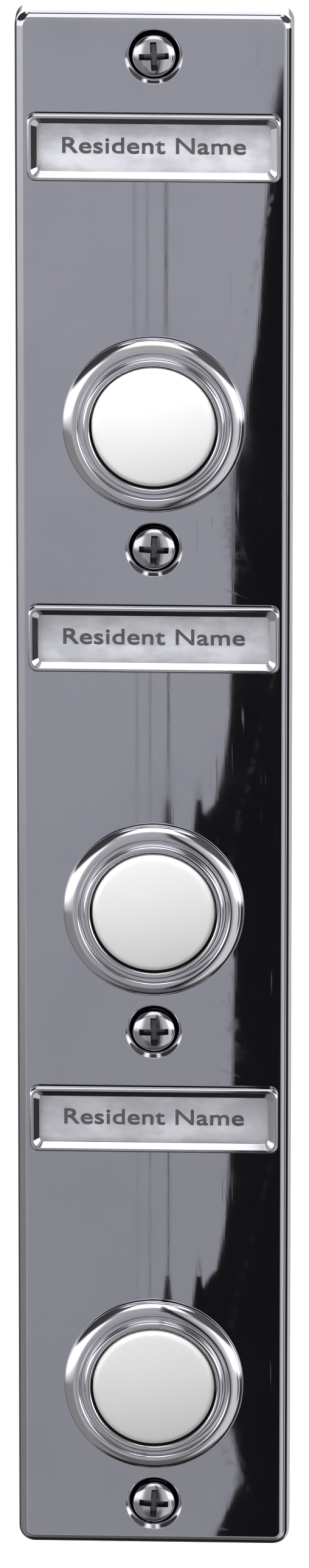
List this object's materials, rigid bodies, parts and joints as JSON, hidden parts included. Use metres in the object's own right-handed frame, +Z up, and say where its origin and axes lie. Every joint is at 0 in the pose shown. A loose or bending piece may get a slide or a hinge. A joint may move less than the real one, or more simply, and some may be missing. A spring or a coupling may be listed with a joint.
{
  "type": "door intercom call panel",
  "caption": "Slim polished-chrome door-entry call panel with name windows, lit round push buttons in stepped bezels, and rear switch cups.",
  "frame": {"origin": "centre of the chassis' rear face, in the wall plane", "axes": "+Z up the panel, +Y into the wall, +X to the right of a visitor who faces the panel"},
  "size_m": [0.037, 0.0212, 0.218],
  "materials": {
    "chrome_cover": "polished, faint vertical draw lines",
    "chrome_bezel": "polished",
    "chrome_frame": "polished",
    "chrome_screw": "plated, slightly worn recess",
    "cap_white": "translucent opal white",
    "card_silver": "silver-white printed card",
    "lens_clear": "clear acrylic",
    "clip_steel": "rolled spring steel",
    "chassis_black": "moulded, fine texture",
    "seal_rubber": "matt",
    "nut_brass": "turned",
    "housing_ivory": "moulded",
    "spring_steel": "drawn wire",
    "bridge_bronze": "rolled phosphor bronze",
    "terminal_brass": "stamped",
    "terminal_steel": "zinc plated",
    "lamp_warm": "warm diffused lens",
    "wire_red": "PVC insulation"
  },
  "bodies": {
    "panel": {"front_cover": "chrome_cover", "rear_chassis": "chassis_black", "wall_seal": "seal_rubber", "cover_screw_1": "chrome_screw", "cover_screw_2": "chrome_screw", "cover_screw_3": "chrome_screw", "cover_screw_4": "chrome_screw", "name_frame_1": "chrome_frame", "name_lens_1": "lens_clear", "name_card_1": "card_silver", "card_clip_1": "clip_steel", "button_bezel_1": "chrome_bezel", "retaining_nut_1": "nut_brass", "switch_housing_1": "housing_ivory", "return_spring_1": "spring_steel", "terminal_a_1": "terminal_brass", "terminal_b_1": "terminal_brass", "terminal_screw_a_1": "terminal_steel", "terminal_screw_b_1": "terminal_steel", "lamp_1": "lamp_warm", "name_frame_2": "chrome_frame", "name_lens_2": "lens_clear", "name_card_2": "card_silver", "card_clip_2": "clip_steel", "button_bezel_2": "chrome_bezel", "retaining_nut_2": "nut_brass", "switch_housing_2": "housing_ivory", "return_spring_2": "spring_steel", "terminal_a_2": "terminal_brass", "terminal_b_2": "terminal_brass", "terminal_screw_a_2": "terminal_steel", "terminal_screw_b_2": "terminal_steel", "lamp_2": "lamp_warm", "name_frame_3": "chrome_frame", "name_lens_3": "lens_clear", "name_card_3": "card_silver", "card_clip_3": "clip_steel", "button_bezel_3": "chrome_bezel", "retaining_nut_3": "nut_brass", "switch_housing_3": "housing_ivory", "return_spring_3": "spring_steel", "terminal_a_3": "terminal_brass", "terminal_b_3": "terminal_brass", "terminal_screw_a_3": "terminal_steel", "terminal_screw_b_3": "terminal_steel", "lamp_3": "lamp_warm", "bus_wire_1": "wire_red", "bus_wire_2": "wire_red"},
    "button_1": {"button_cap_1": "cap_white", "contact_bridge_1": "bridge_bronze"},
    "button_2": {"button_cap_2": "cap_white", "contact_bridge_2": "bridge_bronze"},
    "button_3": {"button_cap_3": "cap_white", "contact_bridge_3": "bridge_bronze"}
  },
  "joints": [
    {"name": "button_1_press", "type": "slide", "parent": "panel", "child": "button_1", "axis": [0, 1, 0], "range_m": [0, 0.0015], "stiffness_N_per_m": 1200, "springref_m": -0.0008, "deforming": ["return_spring_1"]},
    {"name": "button_2_press", "type": "slide", "parent": "panel", "child": "button_2", "axis": [0, 1, 0], "range_m": [0, 0.0015], "stiffness_N_per_m": 1200, "springref_m": -0.0008, "deforming": ["return_spring_2"]},
    {"name": "button_3_press", "type": "slide", "parent": "panel", "child": "button_3", "axis": [0, 1, 0], "range_m": [0, 0.0015], "stiffness_N_per_m": 1200, "springref_m": -0.0008, "deforming": ["return_spring_3"]}
  ]
}
